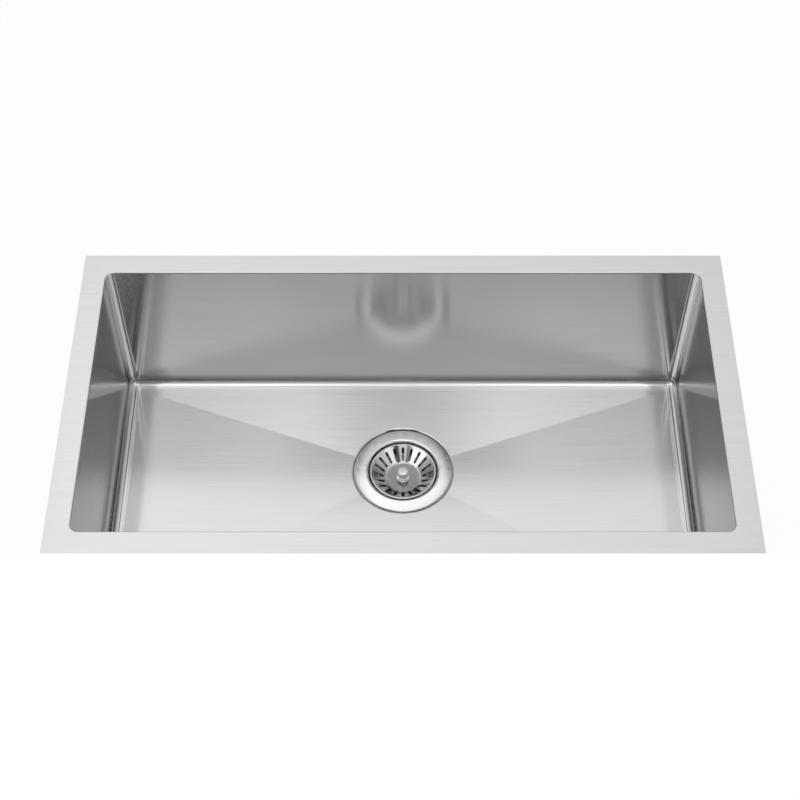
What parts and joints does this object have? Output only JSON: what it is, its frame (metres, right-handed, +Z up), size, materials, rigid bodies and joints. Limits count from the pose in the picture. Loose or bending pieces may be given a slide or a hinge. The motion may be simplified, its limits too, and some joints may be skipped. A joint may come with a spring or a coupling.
{
  "type": "undermount kitchen sink",
  "caption": "Single-bowl stainless kitchen sink with a flat rim, a creased floor falling to a rear drain, and a basket strainer waste that lifts out.",
  "frame": {"origin": "middle of the bowl's mouth, in the plane of the rim's top face", "axes": "+X along the rim to the user's right, +Y to the back of the worktop, +Z up out of the bowl"},
  "size_m": [0.7, 0.38, 0.2909],
  "materials": {
    "bowl_steel": "brushed along the length of the bowl, satin",
    "polished_steel": "pressed stainless steel, polished",
    "sound_pad": "dark grey bitumen rubber, matt",
    "seal_rubber": "black moulded rubber",
    "waste_plastic": "pale grey moulded plastic",
    "post_plastic": "off-white acetal",
    "insert_brass": "turned brass"
  },
  "bodies": {
    "sink_body": {"bowl": "bowl_steel", "wall_pad_front": "sound_pad", "wall_pad_back": "sound_pad", "wall_pad_left": "sound_pad", "wall_pad_right": "sound_pad", "floor_pad_left": "sound_pad", "floor_pad_right": "sound_pad", "strainer_cup": "polished_steel", "flange_gasket": "seal_rubber", "body_gasket": "seal_rubber", "waste_body": "waste_plastic", "hub_insert": "insert_brass", "clamp_screw": "polished_steel", "screw_washer": "seal_rubber"},
    "post_body": {"basket_post": "post_plastic", "basket_seal": "seal_rubber", "grip_ring": "seal_rubber", "glide_washer": "post_plastic"},
    "basket_body": {"basket": "polished_steel", "lift_knob": "polished_steel"}
  },
  "joints": [
    {"name": "basket_lift", "type": "slide", "parent": "sink_body", "child": "post_body", "axis": [0, 0, 1], "range_m": [0, 0.26]},
    {"name": "basket_turn", "type": "hinge", "parent": "post_body", "child": "basket_body", "pos_m": [0, 0.042, -0.21], "axis": [0, 0, 1], "continuous": true}
  ]
}
